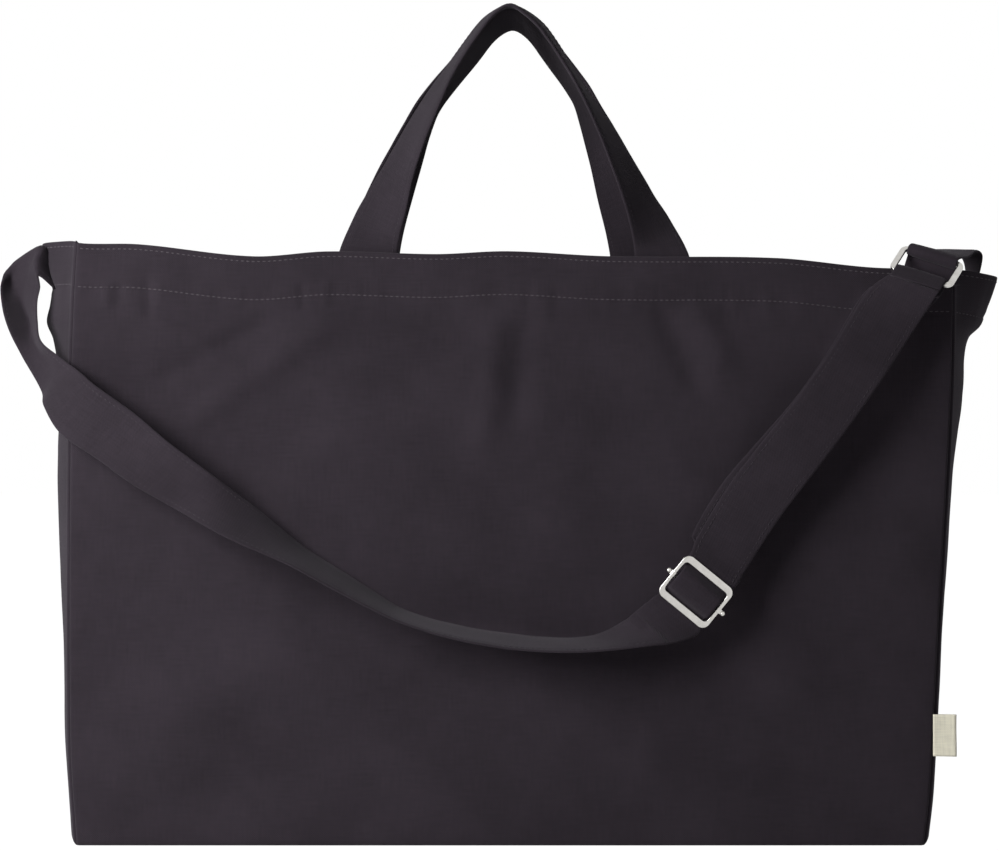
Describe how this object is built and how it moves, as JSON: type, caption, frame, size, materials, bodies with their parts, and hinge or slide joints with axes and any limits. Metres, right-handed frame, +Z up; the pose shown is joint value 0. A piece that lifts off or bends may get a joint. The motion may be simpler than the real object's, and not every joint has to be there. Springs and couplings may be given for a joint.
{
  "type": "tote bag",
  "caption": "Gusseted canvas tote bag with two short carrying handles and an adjustable shoulder strap on a metal slider and ring.",
  "frame": {"origin": "centre of the underside of the base panel, where the bag stands", "axes": "+Z up, +X to the right of someone facing the bag's front, -Y to the front"},
  "size_m": [0.5472, 0.134, 0.4655],
  "materials": {
    "canvas": "plain-weave cotton canvas, charcoal black",
    "canvas_band": "folded and stitched cotton canvas band, charcoal black",
    "nickel": "satin nickel-plated zinc",
    "woven_label": "cream woven cotton tape"
  },
  "bodies": {
    "bag": {"front_panel": "canvas", "back_panel": "canvas", "left_gusset": "canvas", "right_gusset": "canvas", "base_panel": "canvas", "side_label": "woven_label", "front_handle_ends": "canvas_band", "back_handle_ends": "canvas_band", "strap_anchor": "canvas_band", "strap_root": "canvas_band", "tab_anchor": "canvas_band", "ring_tab": "canvas_band"},
    "front_handle": {"front_handle": "canvas_band"},
    "back_handle": {"back_handle": "canvas_band"},
    "shoulder_strap": {"shoulder_strap": "canvas_band", "strap_adjusting_run": "canvas_band", "strap_ring": "nickel"},
    "slider": {"slider_frame": "nickel"},
    "slider_pin": {"slider_pin": "nickel", "strap_end_loop": "canvas_band"}
  },
  "joints": [
    {"name": "front_handle_fold", "type": "hinge", "parent": "bag", "child": "front_handle", "pos_m": [0, -0.04025, 0.327], "axis": [1, 0, 0], "range_deg": [0, 160]},
    {"name": "back_handle_fold", "type": "hinge", "parent": "bag", "child": "back_handle", "pos_m": [0, 0.04025, 0.327], "axis": [-1, 0, 0], "range_deg": [0, 160]},
    {"name": "strap_swing", "type": "hinge", "parent": "bag", "child": "shoulder_strap", "pos_m": [0.235, -0.05, 0.325], "axis": [-0.9951, 0.0989, 0.004], "range_deg": [0, 180], "deforming": ["strap_root", "ring_tab"]},
    {"name": "slider_slide", "type": "slide", "parent": "shoulder_strap", "child": "slider", "axis": [0.5872, 0.017, 0.8093], "range_m": [0, 0.12], "deforming": ["strap_adjusting_run"]},
    {"name": "slider_pin_shift", "type": "slide", "parent": "slider", "child": "slider_pin", "axis": [0.6326, 0, 0.7745], "range_m": [-0.003, 0.003]}
  ]
}
